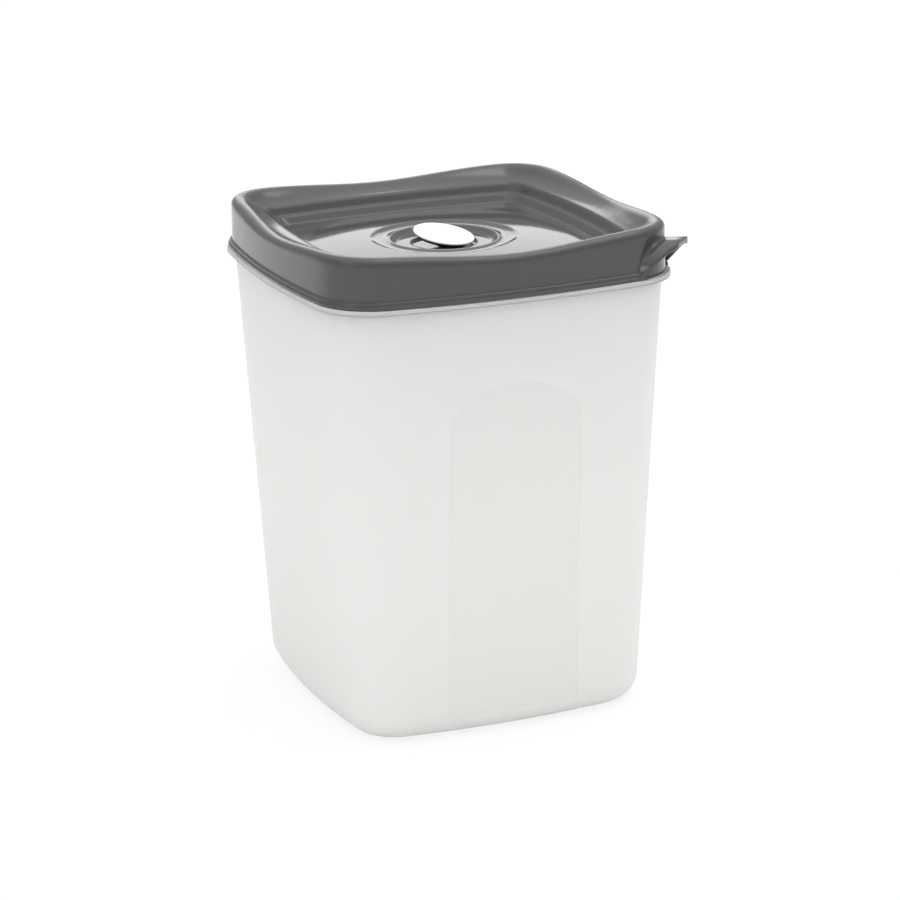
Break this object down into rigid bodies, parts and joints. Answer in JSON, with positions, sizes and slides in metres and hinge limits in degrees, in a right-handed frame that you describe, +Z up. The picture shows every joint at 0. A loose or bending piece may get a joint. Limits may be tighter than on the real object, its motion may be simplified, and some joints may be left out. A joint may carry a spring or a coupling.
{
  "type": "vacuum seal canister",
  "caption": "Tall square food canister with bulging frosted sides, an arched window, and a pressed-on flexible lid with a pull tab and a tilted vacuum valve.",
  "frame": {"origin": "middle of the tub's bottom, on the plane it stands on", "axes": "+Z up, the front with the arched window faces -Y, the pull tab is at the corner between +X and -Y"},
  "size_m": [0.164, 0.164, 0.213],
  "materials": {
    "frosted_plastic": "frosted translucent polypropylene with a polished window",
    "lid_plastic": "glossy flexible plastic",
    "gasket_silicone": "satin silicone",
    "valve_black": "satin",
    "valve_white": "satin gloss",
    "valve_silicone": "satin silicone"
  },
  "bodies": {
    "tub": {"tub": "frosted_plastic"},
    "lid": {"lid": "lid_plastic", "lid_gasket": "gasket_silicone", "valve_insert": "valve_black", "valve_ring": "valve_black"},
    "flap": {"valve_cap": "valve_white", "valve_pad": "valve_silicone"}
  },
  "joints": [
    {"name": "lid_lift", "type": "slide", "parent": "tub", "child": "lid", "axis": [0, 0, 1], "range_m": [0, 0.1]},
    {"name": "valve_flap", "type": "hinge", "parent": "lid", "child": "flap", "pos_m": [0.0069, -0.00823, 0.1963], "axis": [0.766, 0.6428, 0], "range_deg": [0, 25]}
  ]
}
